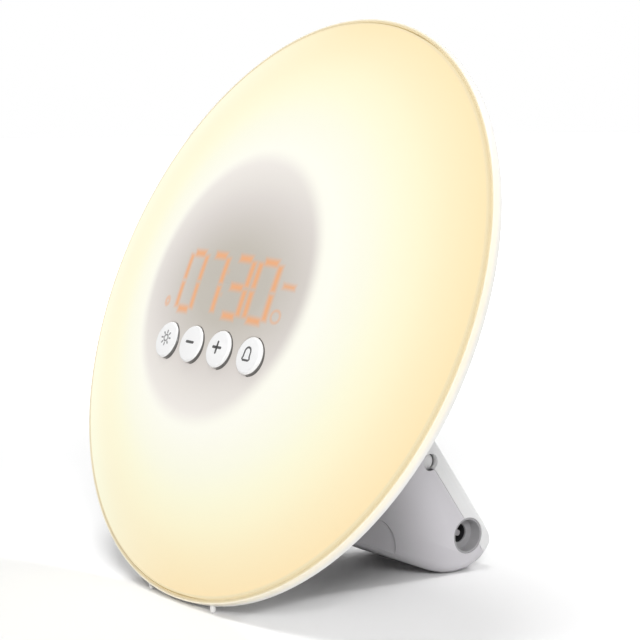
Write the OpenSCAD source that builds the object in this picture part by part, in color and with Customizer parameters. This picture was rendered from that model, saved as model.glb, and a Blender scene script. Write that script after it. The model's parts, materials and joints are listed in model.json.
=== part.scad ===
// Sunrise alarm clock: a round glowing disc that leans back on a hollow wedge stand.
// Disc pieces are drawn lying flat, with z along the disc's axis towards the viewer and z = 0
// at the front edge of the rim, and then leaned back. Depth means distance behind that plane.

/* [Disc] */
// Outside radius of the disc's rim
disc_r = 95; // [92:0.5:98]
// How far the disc leans back from upright, in degrees
disc_tilt = 22; // [21:0.5:23]
// Height of the dome over the rim's front edge
dome_h = 19; // [18.5:0.5:20]
// Wall of the translucent dome
dome_wall = 2; // [1.6:0.1:2.2]
// Thickness of the band round the disc, front to back
rim_band = 3.2; // [3:0.1:3.6]
// Width of the rim's front lip, outside the dome
rim_lip = 1.2; // [1:0.1:1.5]
// Radius of the sphere that the back of the disc is part of
dish_sphere_r = 220; // [215:1:235]
// Wall of the disc's back shell
dish_wall = 2; // [1.8:0.1:2.2]
// Gap between the disc's lowest point and the table
disc_lift = 0.2; // [0.1:0.1:0.4]

/* [Buttons] */
// Radius of a round button cap
button_r = 5.85; // [5.7:0.05:6]
// Spacing of the four buttons in the row
button_pitch = 15; // [14.8:0.1:15.4]
// How far the row lies below the disc's centre
button_drop = 20.2; // [20.1:0.1:21]
// How far a cap stands out of the dome
button_proud = 1.1; // [1:0.1:1.3]
// Travel of every button
button_travel = 0.8; // [0.6:0.1:1]
// Gap round a cap in its hole
button_gap = 0.35; // [0.3:0.05:0.45]

/* [Display] */
// Radius of the light-tight ring behind the display
display_r = 41; // [40:0.5:41.5]
// Height of a lit digit
digit_h = 20.5; // [19:0.5:20.5]
// Width of a lit digit
digit_w = 11.4; // [10.5:0.1:11.6]
// Lean of the digits, in degrees
digit_slant = 0; // [0:1:6]

/* [Stand] */
// Half of the stand's width
stand_half_w = 21; // [20.5:0.5:22]
// Where the stand's underside runs, measured up the disc from its centre
stand_low = -62.5; // [-62.6:0.1:-62.2]
// Where the line of the stand's back would meet the rim's plane, measured up the disc
stand_high = 16.3; // [16:0.1:17]
// Angle between the stand's back and the disc's axis
back_slope = 32; // [31.5:0.5:32.5]
// Wall of the stand
stand_wall = 2.2; // [2:0.1:2.4]
// Thickness of the stand's back cover, out to the parting line
cover_depth = 5.8; // [5.5:0.1:6]
// Depth at which the heel's large curve starts
heel_start = 79; // [78.5:0.5:79.5]
// Radius of the heel's large curve
heel_r = 24; // [23.5:0.5:24.5]

/* [Power inlet] */
// Radius of the recess that takes the power plug's sleeve
inlet_r = 5.2; // [5.1:0.1:5.3]
// Depth of that recess
inlet_depth = 4.8; // [4.6:0.1:5]
// Depth of the inlet's axis behind the rim's front edge
inlet_back = 87.8; // [87.5:0.1:88.1]
// Height of the inlet's axis, measured up the disc from its centre
inlet_up = -47.9; // [-48.1:0.1:-47.7]

/* [Hidden] */
$fn = 96;
fine = 180;
eps = 0.01;

// Spheres of the dome and of the dish, both with their centres on the disc's axis.
dome_sphere_r = (dome_h * dome_h + disc_r * disc_r) / (2 * dome_h);
dome_centre = dome_h - dome_sphere_r;
dish_edge_r = disc_r - 2;
dish_edge_depth = rim_band + 0.6;
dish_centre = sqrt(dish_sphere_r * dish_sphere_r - dish_edge_r * dish_edge_r) - dish_edge_depth;

// Heights of the dome and depths of the dish at a distance from the disc's axis.
function dome_out(r) = sqrt(dome_sphere_r * dome_sphere_r - r * r) + dome_centre;
function dome_in(r) = sqrt(pow(dome_sphere_r - dome_wall, 2) - r * r) + dome_centre;
function dish_out(r) = sqrt(dish_sphere_r * dish_sphere_r - r * r) - dish_centre;
function dish_in(r) = sqrt(pow(dish_sphere_r - dish_wall, 2) - r * r) - dish_centre;

// The heel is two arcs, followed by the angle that its surface has turned through.
heel_turn = 45;
heel_tip_r = 9;
heel_tip_turn = 84;
heel_knee_depth = heel_start + heel_r * sin(heel_turn);
heel_knee_v = stand_low + heel_r * (1 - cos(heel_turn));
function heel_depth(a) =
    a < heel_turn ? heel_start + heel_r * sin(a)
                  : heel_knee_depth + heel_tip_r * (sin(a) - sin(heel_turn));
function heel_v(a) =
    a < heel_turn ? stand_low + heel_r * (1 - cos(a))
                  : heel_knee_v + heel_tip_r * (cos(heel_turn) - cos(a));
tip_depth = heel_depth(heel_tip_turn);

// The crest is the small curve between the stand's back and the heel's tip.
crest_r = 4;
crest_start = tip_depth - 1.9;
function crest_drop(d) =
    d < crest_start ? 0 : crest_r - sqrt(max(0, crest_r * crest_r - pow(d - crest_start, 2)));

// Side outline and half width of the stand at a depth. All three flare towards the dish.
function flare(d, from, length) = pow(max(0, from - d) / length, 2);
function back_line(d) = stand_high - tan(back_slope) * d;
function back_v(d) = back_line(d) - crest_drop(d) + 8 * flare(d, 36, 28);
function low_v(d) = stand_low - 7 * flare(d, 36, 28);
function side_x(d) = stand_half_w + 12 * flare(d, 50, 40);
// The outside draws in a little towards the heel's tip, so that its corners are round.
function tip_draw(d) = 1.6 * flare(-d, -92, 7.3);

// Place of the disc. The origin is on the table, under the middle of the whole object.
disc_z = disc_r * cos(disc_tilt) + rim_band * sin(disc_tilt) + disc_lift;
front_y = -disc_r * sin(disc_tilt);
back_y = tip_depth * cos(disc_tilt) + back_v(tip_depth) * sin(disc_tilt);
disc_y = -(front_y + back_y) / 2;
module on_disc() translate([0, disc_y, disc_z]) rotate([90 - disc_tilt, 0, 0]) children();

// Frame of the stand's back: x across, y down along the back, z out of it.
module back_frame() translate([0, stand_high, 0]) rotate([-90 - back_slope, 0, 0]) children();
module on_back() on_disc() back_frame() children();
function along_back(d, v) = d * cos(back_slope) - (v - stand_high) * sin(back_slope);
function out_of_back(d, v) = d * sin(back_slope) + (v - stand_high) * cos(back_slope);

// One closed ring of the stand's form: a rectangle with round corners at one depth.
corner_steps = 5;
function corner(cx, cy, r, from) =
    [for (i = [0:corner_steps]) let(a = from + 90 * i / corner_steps) [cx + r * cos(a), cy + r * sin(a)]];
function stand_ring(w, low, high, r_low, r_high, d) =
    let(a = min(r_low, (high - low) / 2 - 0.02), b = min(r_high, (high - low) / 2 - 0.02))
    [for (p = concat(
        corner(w - b, high - b, b, 0), corner(b - w, high - b, b, 90),
        corner(a - w, low + a, a, 180), corner(w - a, low + a, a, 270)))
        [p[0], p[1], -d]];

// Stations along the stand: the flared root, the straight part, then the heel by its angle.
root_depths = [8, 14, 20, 26, 32, 38, 44, 50, 64];
heel_angles = [0, 12, 24, 36, 45, 55, 65, 75, heel_tip_turn];
low_corner = 3.5;
high_corner = 1.6;
function stand_rings(wall) = concat(
    [for (d = root_depths)
        stand_ring(side_x(d) - wall, low_v(d) + wall, back_v(d) - wall / cos(back_slope),
            low_corner - wall / 2, high_corner - wall / 2, d == root_depths[0] ? d - wall : d)],
    [for (a = heel_angles) let(d = heel_depth(a) - wall * sin(a), near = back_v(d + wall / 3))
        stand_ring(side_x(d) - max(wall, tip_draw(d)), heel_v(a) + wall * cos(a),
            near - wall / cos(back_slope), low_corner - wall / 2, high_corner - wall / 2, d)]);

// Closed skin over a list of rings that all have the same number of points.
module skin(rings) {
    n = len(rings[0]);
    m = len(rings);
    sides = [for (j = [0:m - 2], i = [0:n - 1]) let(k = (i + 1) % n)
        each [[j * n + i, j * n + k, (j + 1) * n + k], [j * n + i, (j + 1) * n + k, (j + 1) * n + i]]];
    near_cap = [for (i = [n - 1:-1:0]) i];
    far_cap = [for (i = [0:n - 1]) (m - 1) * n + i];
    polyhedron(points = [for (ring = rings) each ring], faces = concat(sides, [near_cap, far_cap]));
}
module stand_form() skin(stand_rings(0));
module stand_shell() difference() {
    stand_form();
    skin(stand_rings(stand_wall));
}

module ring(r_out, r_in, h) difference() {
    cylinder(r = r_out, h = h);
    translate([0, 0, -1]) cylinder(r = r_in, h = h + 2);
}
module at(places) for (p = places) translate(p) children();
function raised(places, z) = [for (p = places) [p[0], p[1], z]];
function polar(r, angles) = [for (a = angles) [r * cos(a), r * sin(a), 0]];

// A screw with its head's underside at z = 0, and a crossed slot in its head.
module pan_screw(head_r, head_h, shank_r, shank_l) {
    difference() {
        cylinder(r = head_r, h = head_h, $fn = 48);
        for (a = [0, 90]) rotate(a) translate([-head_r * 0.6, -0.3, head_h * 0.5])
            cube([head_r * 1.2, 0.6, head_h]);
    }
    translate([0, 0, -shank_l]) cylinder(r = shank_r, h = shank_l + eps, $fn = 48);
}
// A wire along the given points, with a slightly thicker ball at each of them.
module wire(points, r) {
    for (i = [0:len(points) - 2]) {
        v = points[i + 1] - points[i];
        translate(points[i]) rotate([0, acos(v[2] / norm(v)), atan2(v[1], v[0])])
            cylinder(r = r, h = norm(v), $fn = 24);
    }
    for (p = points) translate(p) sphere(r = r + 0.08, $fn = 24);
}

// Screws and their holes
screw_r = 1.25;
pilot_r = 1.3;
clear_r = 1.6;
head_r = 2.5;
head_h = 1.5;

// Dome, seated on a ledge inside the rim and held by six screws from behind
dome_edge_r = disc_r - rim_lip - 0.4;
dome_skirt = 2.2;
seat_depth = 1.9;
seat_r = dome_edge_r - 4;
dome_bosses = polar(84, [30:60:330]);
dome_boss_r = norm(dome_bosses[0]);
dome_boss_depth = 4.6;
dome_screw_depth = 6.2;
button_x = [for (i = [0:3]) (i - 1.5) * button_pitch];
button_places = [for (x = button_x) [x, -button_drop, 0]];

module dome_ball(inset) translate([0, 0, dome_centre]) sphere(r = dome_sphere_r - inset, $fn = fine);
module light_diffuser() color([1, 0.95, 0.78]) on_disc() difference() {
    union() {
        difference() {
            intersection() {
                dome_ball(0);
                translate([0, 0, -seat_depth]) cylinder(r = dome_edge_r, h = dome_h + 5, $fn = fine);
            }
            intersection() {
                dome_ball(dome_wall);
                translate([0, 0, -10]) cylinder(r = dome_edge_r - dome_skirt, h = 60, $fn = fine);
            }
        }
        at(raised(dome_bosses, -dome_boss_depth))
            cylinder(r = 3, h = dome_boss_depth + dome_in(dome_boss_r) + 0.6);
    }
    at(button_places) cylinder(r = button_r + button_gap, h = 40);
    at(raised(dome_bosses, -dome_boss_depth - 1)) cylinder(r = pilot_r, h = 6);
}

// Back shell of the disc: rim, dish and the bosses inside it
led_front = -4.4;
board_t = 1.6;
led_posts = polar(60, [30, 90, 150, 207, 333]);
housing_bosses = [[20.5, -24], [-20.5, -24], [20.5, -54], [-20.5, -54]];
housing_pad = 1.6;
cable_hole = [30, 26];
cable_hole_low = -46;

module dish_ball(inset) translate([0, 0, dish_centre]) sphere(r = dish_sphere_r - inset, $fn = fine);
module back_shell() color([0.93, 0.93, 0.92]) on_disc() difference() {
    union() {
        difference() {
            union() {
                translate([0, 0, -rim_band]) cylinder(r = disc_r, h = rim_band, $fn = fine);
                intersection() {
                    dish_ball(0);
                    translate([0, 0, -50]) cylinder(r = dish_edge_r + 1, h = 49, $fn = fine);
                }
            }
            intersection() {
                dish_ball(dish_wall);
                translate([0, 0, -60]) cylinder(r = seat_r, h = 70, $fn = fine);
            }
            translate([0, 0, -seat_depth]) cylinder(r = disc_r - rim_lip, h = 10, $fn = fine);
        }
        intersection() {
            dish_ball(dish_wall / 4);
            union() {
                at(raised(dome_bosses, -12)) cylinder(r = 4.2, h = 12 - dome_boss_depth);
                at(raised(led_posts, -20)) cylinder(r = 3.4, h = 20 + led_front - board_t);
                for (p = housing_bosses) translate([p[0], p[1], -30])
                    cylinder(r = 4.4, h = 30 - dish_in(norm(p)) + housing_pad);
            }
        }
    }
    at(raised(dome_bosses, -20)) cylinder(r = clear_r, h = 20);
    at(raised(dome_bosses, -20)) cylinder(r = 3.3, h = 20 - dome_screw_depth);
    at(raised(led_posts, led_front - board_t - 6)) cylinder(r = pilot_r, h = 10);
    at(raised(housing_bosses, -40)) cylinder(r = clear_r, h = 60);
    translate([-cable_hole[0] / 2, cable_hole_low, -40]) cube([cable_hole[0], cable_hole[1], 40]);
}

// Stand housing and its back cover, parted along a plane under the cover
cover_top = 34;
part_gap = 0.15;
cover_posts = [[18.4, 38], [-18.4, 38], [16.6, 97], [-16.6, 97]];
cover_seat = -3.4;
set_y = along_back(63.3, -30);
set_r = 2.4;
set_hole_r = 2.8;
dimple_depth = 50;
dimple_v = -64;
dimple_r = 11.4;
inlet_y = along_back(inlet_back, inlet_up);
inlet_z = out_of_back(inlet_back, inlet_up);
collar_wall = 0.7;
collar_floor = 0.8;
jack_r = inlet_r - 0.1;
jack_face = stand_half_w - inlet_depth;
jack_front = jack_face - collar_floor - 0.05;

module cover_space(grow) back_frame()
    translate([-60, cover_top - grow, -cover_depth - grow]) cube([120, 120, 60]);
// A cylinder across the stand, from the given x outwards.
module side_bore(y, z, r, from) back_frame() translate([from, y, z]) rotate([0, 90, 0])
    cylinder(r = r, h = 60);
module side_dimples() for (s = [-1, 1])
    translate([s * (stand_half_w + 4.2), dimple_v, -dimple_depth])
        rotate([0, 90, 0]) cylinder(r = dimple_r, h = 10, center = true);
module jack_cradle() intersection() {
    stand_form();
    back_frame() translate([jack_face - 10, inlet_y - 3.5, inlet_z - 17]) cube([7, 7, 14]);
}
module side_bores() {
    side_bore(inlet_y, inlet_z, inlet_r + collar_wall + 0.05, jack_front);
    side_bore(inlet_y, inlet_z, jack_r + 0.05, 0);
    side_bore(set_y, -cover_depth, set_hole_r, stand_half_w - stand_wall - 2);
}

module stand_housing() color([0.8, 0.8, 0.82]) difference() {
    on_disc() housing_form();
    translate([0, pad_y, pad_t + 0.05]) pad_block(0.1, 2);
}
module housing_form() difference() {
    union() {
        stand_shell();
        for (p = housing_bosses) translate([p[0], p[1], -dish_out(norm(p)) - 9]) cylinder(r = 3.4, h = 14);
        back_frame() at(raised(cover_posts, -cover_depth - 15)) cylinder(r = 3.2, h = 15);
        jack_cradle();
    }
    dish_ball(0);
    cover_space(part_gap);
    side_bores();
    side_dimples();
    for (p = housing_bosses) translate([p[0], p[1], -dish_out(norm(p)) - 7.5]) cylinder(r = pilot_r, h = 20);
    back_frame() at(raised(cover_posts, -cover_depth - 12)) cylinder(r = pilot_r, h = 20);
}

speaker_y = 58;
speaker_r = 13.5;
sound_holes = [[0, 1], [3.4, 6], [6.8, 12], [10.2, 18]];
board_posts = [[12.5, 43], [-12.5, 43], [12.5, 87], [-12.5, 87]];
board_z = -20;
clamp_z = -stand_wall - 1.6;
clamp_posts = [for (p = polar(17, [90, 210, 330])) [p[0], p[1] + speaker_y]];
set_board_x = 8.5;
set_board_half = 4.4;

module stand_cover() color([0.95, 0.95, 0.95]) on_disc() difference() {
    union() {
        intersection() {
            stand_shell();
            cover_space(0);
        }
        back_frame() {
            at(raised(cover_posts, -cover_depth)) cylinder(r = 3.2, h = cover_depth - 1);
            at(raised(board_posts, board_z)) cylinder(r = 2.8, h = -board_z - 1);
            at(raised(clamp_posts, clamp_z)) cylinder(r = 2, h = -clamp_z - 1);
            for (x = [set_board_x - 1.1, set_board_x + board_t + 0.1], s = [-1, 1])
                translate([x, set_y + s * (set_board_half - 0.7) - 0.7, -6.5]) cube([1, 1.4, 5]);
        }
    }
    back_frame() {
        at(raised(cover_posts, -20)) cylinder(r = clear_r, h = 40);
        at(raised(cover_posts, cover_seat)) cylinder(r = 2.9, h = 20);
        at(raised(board_posts, board_z - 1)) cylinder(r = pilot_r, h = 8);
        at(raised(clamp_posts, clamp_z - 1)) cylinder(r = 0.85, h = 3.2);
        for (h = sound_holes, p = polar(h[0], [for (i = [0:h[1] - 1]) 360 * i / h[1]]))
            translate([p[0], p[1] + speaker_y, -8]) cylinder(r = 0.8, h = 12, $fn = 24);
    }
    side_bores();
}

// Lamp
reflector_r = 79;
reflector_flat = 69;
reflector_t = 0.6;
led_count = 24;
led_angles = [for (i = [0:led_count - 1]) 360 * i / led_count];
led_ring_r = 52;
led_size = 3;
carrier_posts = polar(36, [55, 125, 235, 305]);

module reflector() color([0.97, 0.97, 0.95]) on_disc() difference() {
    translate([0, 0, led_front]) union() {
        ring(reflector_flat, display_r + 0.3, reflector_t);
        difference() {
            cylinder(r1 = reflector_flat, r2 = reflector_r, h = 3.4);
            translate([0, 0, -eps])
                cylinder(r1 = reflector_flat - reflector_t, r2 = reflector_r - reflector_t, h = 3.42);
        }
    }
    at(raised(polar(led_ring_r, led_angles), led_front - 1)) cylinder(r = 2.6, h = 4);
    at(raised(led_posts, led_front - 1)) cylinder(r = clear_r, h = 4);
}
module led_board() color([0.9, 0.92, 0.9]) on_disc() difference() {
    translate([0, 0, led_front - board_t]) ring(66, 31, board_t);
    at(raised(concat(led_posts, carrier_posts), led_front - 5)) cylinder(r = clear_r, h = 10);
}
module leds() color([1, 0.85, 0.4]) on_disc() for (a = led_angles) rotate(a)
    translate([led_ring_r - led_size / 2, -led_size / 2, led_front]) cube([led_size, led_size, 0.9]);

// Display
carrier_wall = 1.4;
board_front = 3.6;
board_r = display_r - carrier_wall - 0.3;

module display_carrier() color([0.25, 0.25, 0.26]) on_disc() difference() {
    union() {
        intersection() {
            translate([0, 0, led_front]) ring(display_r, display_r - carrier_wall, 30);
            dome_ball(dome_wall + 0.5);
        }
        at(raised(carrier_posts, led_front)) cylinder(r = 3, h = board_front - board_t - led_front);
        for (p = carrier_posts) rotate(atan2(p[1], p[0])) translate([norm(p), -1, led_front])
            cube([display_r - carrier_wall / 2 - norm(p), 2, 5]);
    }
    at(raised(carrier_posts, led_front - 1)) cylinder(r = pilot_r, h = 20);
}
module display_film() color([0.6, 0.58, 0.56]) on_disc() difference() {
    intersection() {
        dome_ball(dome_wall + 0.05);
        cylinder(r = board_r, h = 60);
    }
    dome_ball(dome_wall + 0.45);
    at(button_places) cylinder(r = button_r + 1.1, h = 40);
}
module display_board() color([0.1, 0.4, 0.2]) on_disc() difference() {
    translate([0, 0, board_front - board_t]) cylinder(r = board_r, h = board_t);
    at(raised(carrier_posts, 0)) cylinder(r = clear_r, h = 10);
}
module display_connector() color([0.95, 0.95, 0.9]) on_disc()
    translate([-7, -24, board_front - board_t - 3]) cube([14, 5, 3]);

// Digit module: bars of light set in its face. A bar's place is in half digits.
module_w = 62;
module_h = 26;
module_low = -13.4;
module_front = board_front + 10.4;
digit_x = [-19.6, -7, 6.6, 19.2];
bar_w = 2.2;
bar_places = [[0, 1], [-0.5, 0.5], [0.5, 0.5], [0, 0], [-0.5, -0.5], [0.5, -0.5], [0, -1]];
colon_places = [[-0.2, 3.6], [-0.2, -3.6]];
function is_upright(p) = p[0] != 0;
module bar(p, grow) rotate(is_upright(p) ? -digit_slant : 0)
    square([(is_upright(p) ? bar_w : digit_w - 2 * bar_w - 0.8) + 2 * grow,
        (is_upright(p) ? (digit_h - bar_w) / 2 - 0.6 : bar_w) + 2 * grow], center = true);
module bars(grow, depth) translate([0, module_low + module_h / 2, module_front - depth]) {
    for (x = digit_x, p = bar_places) {
        y = p[1] * (digit_h - bar_w) / 2;
        translate([x + p[0] * (digit_w - bar_w) + y * tan(digit_slant), y, 0])
            linear_extrude(depth + grow) bar(p, grow);
    }
    at(colon_places) cylinder(r = 0.8 + grow, h = depth + grow);
}
module digit_module() color([0.3, 0.3, 0.3]) on_disc() difference() {
    translate([-module_w / 2, module_low, board_front])
        cube([module_w, module_h, module_front - board_front]);
    bars(0.05, 2);
}
module digit_segments() color([1, 0.55, 0.2]) on_disc() bars(0, 2);

// Buttons on the disc, their guide and their switches
guide_z = 9.6;
guide_t = 1.5;
stem_r = 2.4;
slide_gap = 0.06;
flange_t = 1;
button_flange = 0.8;
switch_h = 3.5;
switch_pocket = 2;
plunger_r = 1.7;
plunger_h = 1.6;
plunger_room = 0.2;
stem_base = board_front + switch_h + plunger_h;

module button_guide() color([0.85, 0.85, 0.85]) on_disc() difference() {
    union() {
        translate([-28.5, -button_drop - 5, guide_z]) cube([57, 8.3, guide_t]);
        for (x = [-1, 0, 1] * button_pitch) translate([x - 1.5, -button_drop - 5, board_front])
            cube([3, 3, guide_z - board_front + eps]);
    }
    at(button_places) cylinder(r = stem_r + slide_gap, h = 30);
}
module switch_box(size) difference() {
    translate([-size / 2, -size / 2, 0]) cube([size, size, switch_h]);
    translate([0, 0, switch_h - switch_pocket]) cylinder(r = plunger_r + slide_gap, h = 4);
}
module plunger() {
    foot = switch_h - switch_pocket + button_travel + plunger_room;
    translate([0, 0, foot]) cylinder(r = plunger_r, h = switch_h + plunger_h - foot);
}
module switch_bodies() color([0.2, 0.2, 0.2]) on_disc() at(raised(button_places, board_front)) switch_box(6);
module face_plunger(i) color([0.9, 0.9, 0.9]) on_disc()
    translate([button_x[i], -button_drop, board_front]) plunger();
module face_button(i) {
    far = norm(button_places[i]);
    top = dome_out(far) + button_proud;
    shelf = dome_in(far + button_r) - 0.6;
    color([0.97, 0.97, 0.97]) on_disc() translate([button_x[i], -button_drop, 0]) {
        translate([0, 0, stem_base]) cylinder(r = stem_r, h = shelf - stem_base);
        translate([0, 0, shelf - flange_t]) cylinder(r = button_r + button_flange, h = flange_t);
        translate([0, 0, shelf - flange_t]) cylinder(r = button_r, h = top - shelf + flange_t - 0.5);
        translate([0, 0, top - 0.5]) cylinder(r1 = button_r, r2 = button_r - 0.5, h = 0.5);
    }
}
module light_button() face_button(0);
module minus_button() face_button(1);
module plus_button() face_button(2);
module alarm_button() face_button(3);
module light_switch_plunger() face_plunger(0);
module minus_switch_plunger() face_plunger(1);
module plus_switch_plunger() face_plunger(2);
module alarm_switch_plunger() face_plunger(3);

// Set button in the side of the stand, on the parting line
set_recess = 2.1;
set_flange_x = stand_half_w - stand_wall - 0.3;
set_flange = [3.8, 6.8, 0.8];
module set_frame() on_back() translate([0, set_y, -cover_depth]) rotate([0, 90, 0]) children();
module set_button() color([0.97, 0.97, 0.97]) set_frame() {
    foot = set_board_x + board_t + switch_h + plunger_h;
    translate([0, 0, foot]) cylinder(r = 1.2, h = set_flange_x - foot);
    translate([-0.4, -set_flange[1] / 2, set_flange_x - set_flange[2]]) cube(set_flange);
    translate([0, 0, set_flange_x - set_flange[2]])
        cylinder(r = set_r, h = stand_half_w - set_recess - set_flange_x + set_flange[2]);
}
module set_switch_board() color([0.1, 0.4, 0.2]) set_frame()
    translate([-3.4, -set_board_half, set_board_x]) cube([8, 2 * set_board_half, board_t]);
module set_switch_body() color([0.2, 0.2, 0.2]) set_frame()
    translate([0, 0, set_board_x + board_t]) switch_box(4.4);
module set_switch_plunger() color([0.9, 0.9, 0.9]) set_frame()
    translate([0, 0, set_board_x + board_t]) plunger();

// Main board, held behind the cover on four posts
board_w = 31;
board_l = 49;
board_top = 41;
chip_z = board_z - board_t;
plug_h = 4;
module main_board() color([0.1, 0.4, 0.2]) on_back() difference() {
    translate([-board_w / 2, board_top, chip_z]) cube([board_w, board_l, board_t]);
    at(raised(board_posts, chip_z - 4)) cylinder(r = clear_r, h = 10);
}
module microcontroller() color([0.12, 0.12, 0.12]) on_back()
    translate([-5, 60, chip_z - 1.6]) cube([10, 10, 1.6]);
module backup_capacitor() color([0.15, 0.2, 0.35]) on_back()
    translate([-8.5, 76, chip_z - 5.5]) cylinder(r = 4.2, h = 5.5);
module power_coil() color([0.35, 0.3, 0.28]) on_back()
    translate([8.5, 76, chip_z - 4]) ring(4.4, 1.6, 4);
ribbon_plug_y = 42;
side_plug_y = 52;
jack_plug_y = 84;
module board_connectors() color([0.95, 0.95, 0.9]) on_back() {
    translate([-7, ribbon_plug_y, chip_z - plug_h]) cube([14, 5, plug_h]);
    for (x = [-13.6, 8.6]) translate([x, side_plug_y, chip_z - plug_h]) cube([5, 7.5, plug_h]);
    translate([-3, jack_plug_y, chip_z - plug_h]) cube([6, 5, plug_h]);
}

// Flat cable from the main board through the dish to the display board, drawn in side view
ribbon_w = 10;
ribbon_t = 0.7;
ribbon_line = [[-26.1, -22.6], [-23.8, -18], [-22.2, -12], [-21.5, -6], [-21.5, -1]];
module ribbon_cable() color([0.75, 0.75, 0.78]) on_disc() translate([-ribbon_w / 2, 0, 0])
    rotate([90, 0, 90]) linear_extrude(ribbon_w) polygon(concat(
        [for (p = ribbon_line) [p[0] - ribbon_t / 2, p[1]]],
        [for (i = [len(ribbon_line) - 1:-1:0]) [ribbon_line[i][0] + ribbon_t / 2, ribbon_line[i][1]]]));

// Leads
wire_r = 0.6;
module led_leads() color([0.8, 0.15, 0.1]) on_disc() for (x = [-12, -10])
    wire([[x, -30.7, -31], [x, -35, -24], [x, -38, -14], [x, -38, -6.7]], wire_r);
module speaker_leads() color([0.8, 0.15, 0.1]) on_back() for (y = [54.5, 57])
    wire([[9.2, y + 8, -6.5], [16.8, y + 4, -12], [17.2, y, -19], [17.2, y, -22.8], [14.3, y, -23.8]],
        wire_r);
module jack_leads() color([0.8, 0.15, 0.1]) on_back() for (x = [-1.2, 1.2])
    wire([[4.3, inlet_y - x, inlet_z], [x, 102, -13], [x, 96, -20], [x, 89.7, -23.6]], wire_r);

// Speaker behind the holes in the cover
basket_t = 1.5;
basket_z = -stand_wall - 0.1;
module speaker_basket() color([0.2, 0.2, 0.2]) on_back() translate([0, speaker_y, basket_z]) difference() {
    union() {
        translate([0, 0, -basket_t]) cylinder(r = speaker_r, h = basket_t);
        translate([0, 0, -6.5]) cylinder(r1 = 8, r2 = 11.6, h = 5.5);
    }
    translate([0, 0, -5.5]) cylinder(r1 = 6.6, r2 = 11, h = 5.5 + eps);
}
module speaker_magnet() color([0.5, 0.5, 0.52]) on_back()
    translate([0, speaker_y, basket_z - 6.5 - 4.5]) cylinder(r = 7.5, h = 4.5);
module speaker_cone() color([0.1, 0.1, 0.1]) on_back() translate([0, speaker_y, basket_z - 5.4])
    difference() {
        cylinder(r1 = 6.2, r2 = 10.2, h = 5);
        translate([0, 0, 0.5]) cylinder(r1 = 6, r2 = 10, h = 5);
    }
module speaker_clamp() color([0.7, 0.7, 0.7]) on_back() translate([0, 0, clamp_z - 1]) difference() {
    union() {
        translate([0, speaker_y, 0]) ring(16, 12, 1);
        at(clamp_posts) cylinder(r = 2.2, h = 1);
    }
    at(raised(clamp_posts, -1)) cylinder(r = 1, h = 4);
}

// Power inlet in the side of the stand: collar with a floor, jack behind it and its centre pin
barrel_r = 3.05;
jack_l = 10.3;
barrel_l = 9;
pin_tip = jack_face - 0.5;
module inlet_frame() on_back() translate([0, inlet_y, inlet_z]) rotate([0, 90, 0]) children();
module jack_collar() color([0.8, 0.8, 0.82]) inlet_frame() difference() {
    translate([0, 0, jack_face - collar_floor])
        cylinder(r = inlet_r + collar_wall, h = inlet_depth - 0.2 + collar_floor);
    translate([0, 0, jack_face]) cylinder(r = inlet_r, h = inlet_depth);
    translate([0, 0, jack_face - 2]) cylinder(r = barrel_r, h = 4);
}
module dc_jack() color([0.15, 0.15, 0.16]) inlet_frame() difference() {
    translate([0, 0, jack_front - jack_l]) cylinder(r = jack_r, h = jack_l);
    translate([0, 0, jack_front - barrel_l]) cylinder(r = barrel_r, h = jack_l);
}
module dc_jack_pin() color([0.8, 0.78, 0.7]) inlet_frame() translate([0, 0, jack_front - barrel_l])
    cylinder(r = 1, h = pin_tip - jack_front + barrel_l);

// Feet: two nubs under the rim, and a pad at the lowest line of the heel
foot_x = 17.4;
foot_r = 0.9;
foot_depth = 2.3;
foot_v = -sqrt(disc_r * disc_r - foot_x * foot_x);
foot_y = disc_y + foot_v * sin(disc_tilt) + foot_depth * cos(disc_tilt);
pad_half_w = 14;
pad_half_l = 4.5;
pad_t = 0.8;
pad_y = disc_y + heel_v(disc_tilt) * sin(disc_tilt) + heel_depth(disc_tilt) * cos(disc_tilt);
module front_feet() color([0.9, 0.9, 0.9]) difference() {
    for (s = [-1, 1]) translate([s * foot_x, foot_y, 0]) {
        cylinder(r1 = foot_r - 0.3, r2 = foot_r, h = 0.5, $fn = 48);
        translate([0, 0, 0.5]) cylinder(r = foot_r, h = 5, $fn = 48);
    }
    on_disc() translate([0, 0, -20]) cylinder(r = disc_r, h = 40, $fn = fine);
}
// The pad lies in a shallow pocket in the heel. Its block hangs down from the given height.
module pad_block(gap, h) translate([-pad_half_w - gap, -pad_half_l - gap, -h])
    cube([2 * (pad_half_w + gap), 2 * (pad_half_l + gap), h]);
module heel_pad() color([0.75, 0.75, 0.75]) translate([0, pad_y, pad_t]) pad_block(0, pad_t);

// Screws
module dome_screws() color([0.7, 0.7, 0.72]) on_disc() at(raised(dome_bosses, -dome_screw_depth))
    rotate([180, 0, 0]) pan_screw(head_r, head_h, screw_r, 6);
module housing_screws() color([0.7, 0.7, 0.72]) on_disc() for (p = housing_bosses)
    translate([p[0], p[1], housing_pad - dish_in(norm(p))])
        pan_screw(head_r, head_h, screw_r, dish_out(norm(p)) - dish_in(norm(p)) + housing_pad + 6.5);
module cover_screws() color([0.7, 0.7, 0.72]) on_back() at(raised(cover_posts, cover_seat))
    pan_screw(head_r, head_h, screw_r, 12);
module led_board_screws() color([0.7, 0.7, 0.72]) on_disc() at(raised(led_posts, led_front + reflector_t))
    pan_screw(head_r, head_h, screw_r, 6.6);
module carrier_screws() color([0.7, 0.7, 0.72]) on_disc() at(raised(carrier_posts, led_front - board_t))
    rotate([180, 0, 0]) pan_screw(head_r, head_h, screw_r, 4.6);
module display_board_screws() color([0.7, 0.7, 0.72]) on_disc() at(raised(carrier_posts, board_front))
    pan_screw(head_r, head_h, screw_r, 4.2);
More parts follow.
